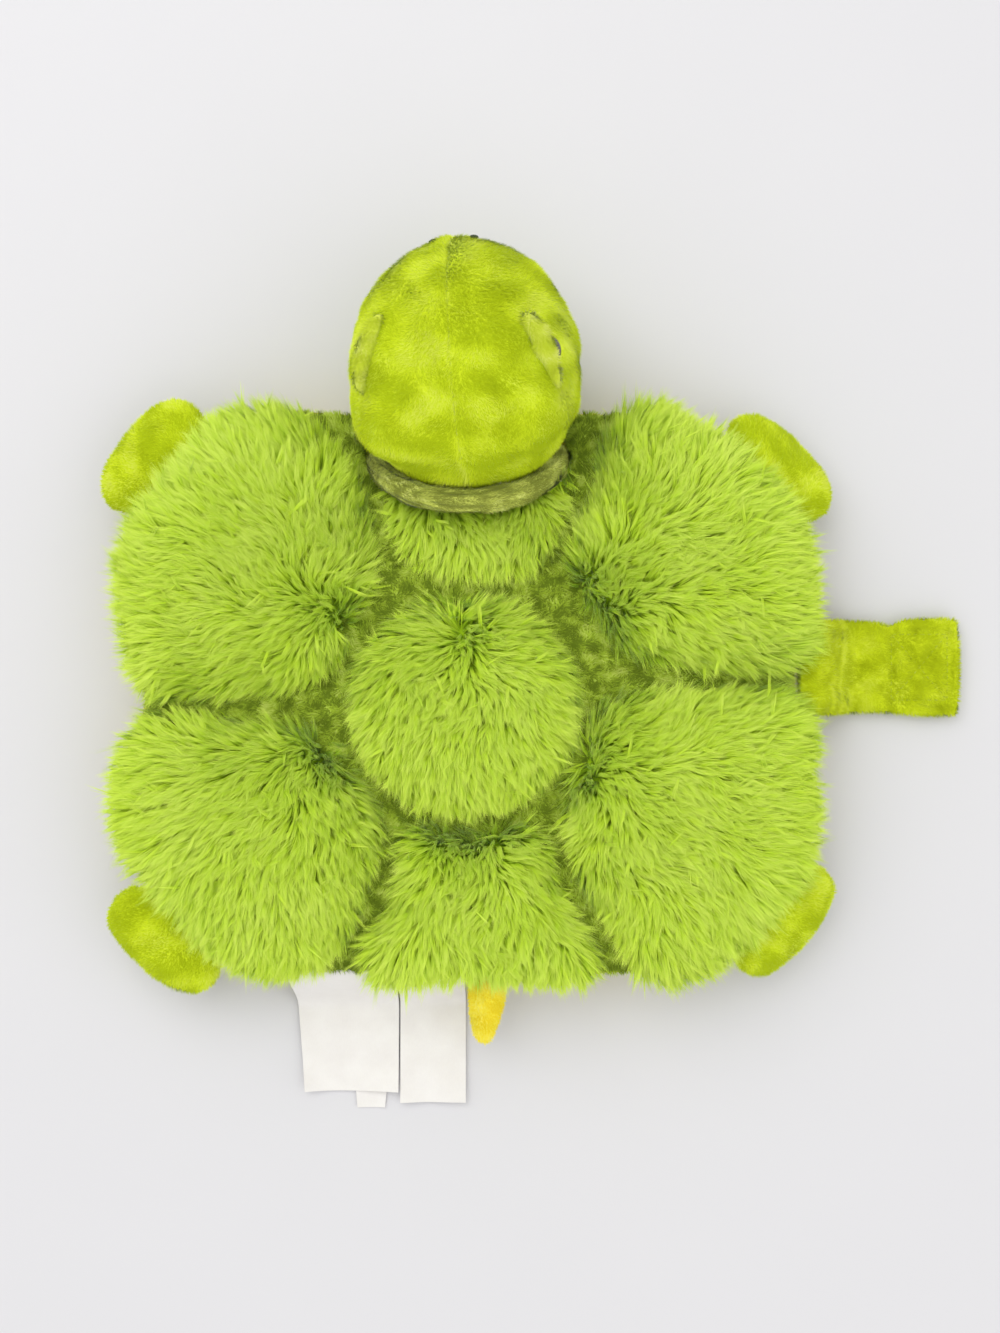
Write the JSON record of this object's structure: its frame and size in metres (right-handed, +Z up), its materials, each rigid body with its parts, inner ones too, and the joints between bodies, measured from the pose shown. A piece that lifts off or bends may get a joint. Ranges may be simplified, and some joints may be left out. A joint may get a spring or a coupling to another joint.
{
  "type": "plush turtle pillow",
  "caption": "Flat plush turtle with shaggy fur cushions on an olive shell, a ball head on a soft neck, flippers, a short tail and a closing strap; it folds along its shell.",
  "frame": {"origin": "on the flat underside of the pillow's middle, under the centre of its shell", "axes": "+Y towards the head, +X to the right of the turtle as seen from above with the head away, where the strap is, and +Z up through the shell"},
  "size_m": [0.3354, 0.3333, 0.0869],
  "materials": {
    "long_pile": "shaggy long-pile faux fur",
    "olive_pile": "short brushed pile",
    "collar_pile": "short brushed pile",
    "lime_pile": "short soft pile",
    "yellow_pile": "short soft pile",
    "filling": "loose fibre filling",
    "satin": "woven satin ribbon",
    "eye_plastic": "glossy",
    "washer_plastic": "moulded",
    "thread": "embroidery thread",
    "fastener": "hook and loop tape"
  },
  "bodies": {
    "spine": {"belly_centre": "yellow_pile", "shell_base_centre": "olive_pile", "stuffing_centre": "filling", "fold_gusset_left": "yellow_pile", "fold_gusset_right": "yellow_pile", "fur_front": "long_pile", "fur_centre": "long_pile", "fur_rear": "long_pile"},
    "left_wing": {"belly_left": "yellow_pile", "shell_base_left": "olive_pile", "stuffing_left": "filling", "fur_front_left": "long_pile", "fur_rear_left": "long_pile", "loop_pad": "fastener"},
    "right_wing": {"belly_right": "yellow_pile", "shell_base_right": "olive_pile", "stuffing_right": "filling", "fur_front_right": "long_pile", "fur_rear_right": "long_pile"},
    "neck_cup": {"neck": "lime_pile", "collar": "collar_pile"},
    "head": {"head_left": "lime_pile", "head_right": "lime_pile", "head_stuffing": "filling", "eye_left": "eye_plastic", "eye_right": "eye_plastic", "eye_washer_left": "washer_plastic", "eye_washer_right": "washer_plastic", "eyelid_left": "lime_pile", "eyelid_right": "lime_pile", "nostril_left": "thread", "nostril_right": "thread", "mouth_stitch": "thread"},
    "front_left_foot": {"foot_front_left": "lime_pile", "foot_front_left_stuffing": "filling"},
    "front_right_foot": {"foot_front_right": "lime_pile", "foot_front_right_stuffing": "filling"},
    "rear_left_foot": {"foot_rear_left": "lime_pile", "foot_rear_left_stuffing": "filling"},
    "rear_right_foot": {"foot_rear_right": "lime_pile", "foot_rear_right_stuffing": "filling"},
    "tail_piece": {"tail": "yellow_pile", "tail_stuffing": "filling"},
    "strap_piece": {"strap": "lime_pile", "hook_pad": "fastener"},
    "care_label_piece": {"care_label": "satin", "care_label_leaf": "satin"},
    "name_label_piece": {"name_label": "satin"}
  },
  "joints": [
    {"name": "left_fold", "type": "hinge", "parent": "spine", "child": "left_wing", "pos_m": [-0.042, 0, 0.032], "axis": [0, -1, 0], "range_deg": [0, 90], "stiffness_Nm_per_rad": 0.6, "deforming": ["fold_gusset_left"]},
    {"name": "right_fold", "type": "hinge", "parent": "spine", "child": "right_wing", "pos_m": [0.042, 0, 0.032], "axis": [0, 1, 0], "range_deg": [0, 90], "stiffness_Nm_per_rad": 0.6, "deforming": ["fold_gusset_right"]},
    {"name": "head_turn", "type": "hinge", "parent": "spine", "child": "neck_cup", "pos_m": [0.0008, 0.116, 0.048], "axis": [0, 0.8192, 0.5736], "range_deg": [-15, 15], "stiffness_Nm_per_rad": 0.3},
    {"name": "head_nod", "type": "hinge", "parent": "neck_cup", "child": "head", "pos_m": [0.0008, 0.116, 0.048], "axis": [-1, 0, 0], "range_deg": [-8, 12], "stiffness_Nm_per_rad": 0.5},
    {"name": "front_left_foot_lift", "type": "hinge", "parent": "left_wing", "child": "front_left_foot", "pos_m": [-0.11386, 0.08485, 0.026], "axis": [0.6157, 0.788, 0], "range_deg": [-30, 45], "stiffness_Nm_per_rad": 0.04},
    {"name": "front_right_foot_lift", "type": "hinge", "parent": "right_wing", "child": "front_right_foot", "pos_m": [0.11807, 0.0834, 0.026], "axis": [0.7193, -0.6947, 0], "range_deg": [-30, 45], "stiffness_Nm_per_rad": 0.04},
    {"name": "rear_left_foot_lift", "type": "hinge", "parent": "left_wing", "child": "rear_left_foot", "pos_m": [-0.11056, -0.09015, 0.026], "axis": [-0.7547, 0.6561, 0], "range_deg": [-30, 45], "stiffness_Nm_per_rad": 0.04},
    {"name": "rear_right_foot_lift", "type": "hinge", "parent": "right_wing", "child": "rear_right_foot", "pos_m": [0.11826, -0.08514, 0.026], "axis": [-0.6428, -0.766, 0], "range_deg": [-30, 45], "stiffness_Nm_per_rad": 0.04},
    {"name": "tail_lift", "type": "hinge", "parent": "spine", "child": "tail_piece", "pos_m": [0.0085, -0.11306, 0.026], "axis": [-0.9976, 0.0698, 0], "range_deg": [-35, 40], "stiffness_Nm_per_rad": 0.01},
    {"name": "strap_swing", "type": "hinge", "parent": "right_wing", "child": "strap_piece", "pos_m": [0.13215, 0.0088, 0.026], "axis": [0, -1, 0], "range_deg": [-60, 90]},
    {"name": "care_label_swing", "type": "hinge", "parent": "spine", "child": "care_label_piece", "pos_m": [-0.0476, -0.10981, 0.0265], "axis": [-1, 0, 0], "range_deg": [-15, 90]},
    {"name": "name_label_swing", "type": "hinge", "parent": "spine", "child": "name_label_piece", "pos_m": [-0.0133, -0.10923, 0.0265], "axis": [-1, 0, 0], "range_deg": [-15, 90]}
  ]
}
